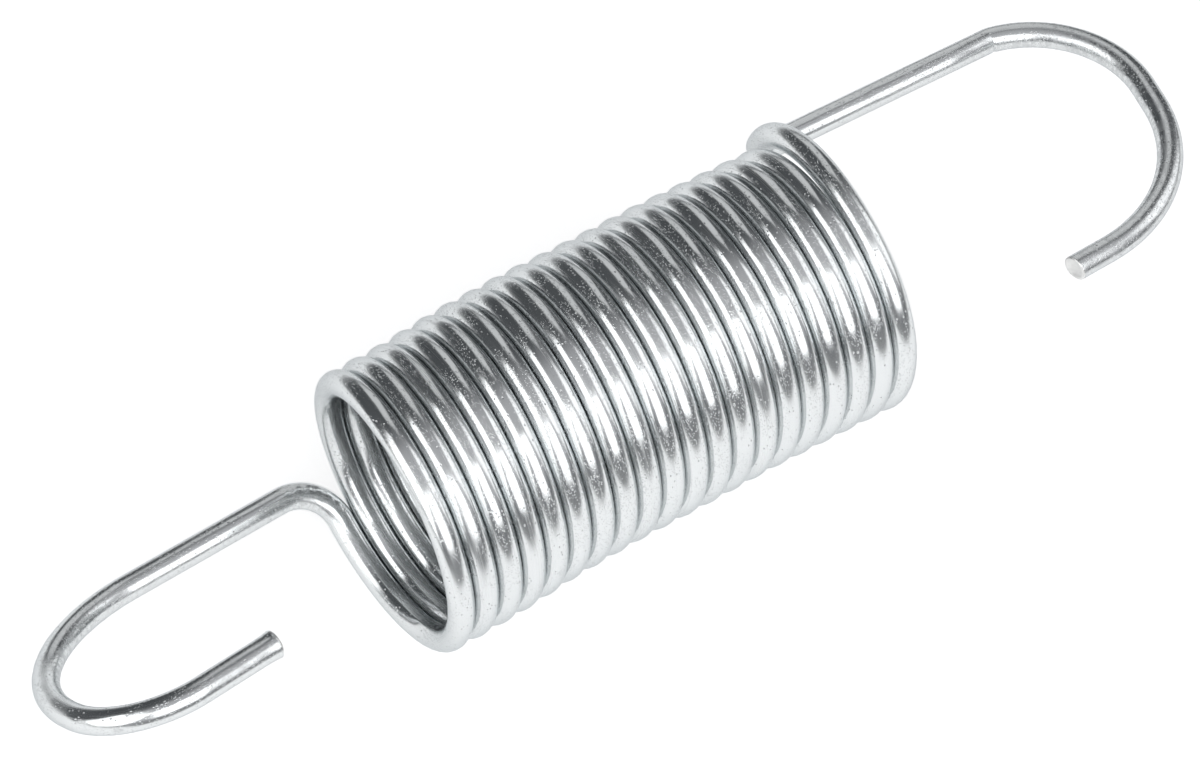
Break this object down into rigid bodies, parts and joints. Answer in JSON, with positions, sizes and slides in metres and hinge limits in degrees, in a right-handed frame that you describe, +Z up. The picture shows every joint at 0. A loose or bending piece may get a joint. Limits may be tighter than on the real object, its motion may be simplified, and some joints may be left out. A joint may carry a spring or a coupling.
{
  "type": "extension spring",
  "caption": "Close-wound extension spring of bright plated round wire, with a long open hook at each end.",
  "frame": {"origin": "middle of the spring's footprint, on the plane that it lies on", "axes": "+X along the coil's axis towards the hook that leaves the coil's top, +Z up, the coil's lowest line on z = 0"},
  "size_m": [0.0984, 0.025, 0.0222],
  "materials": {
    "plated_wire": "bright zinc plate, polished, with fine drawing marks, pits and scuffs"
  },
  "bodies": {
    "root": {"spring": "plated_wire"}
  },
  "joints": []
}
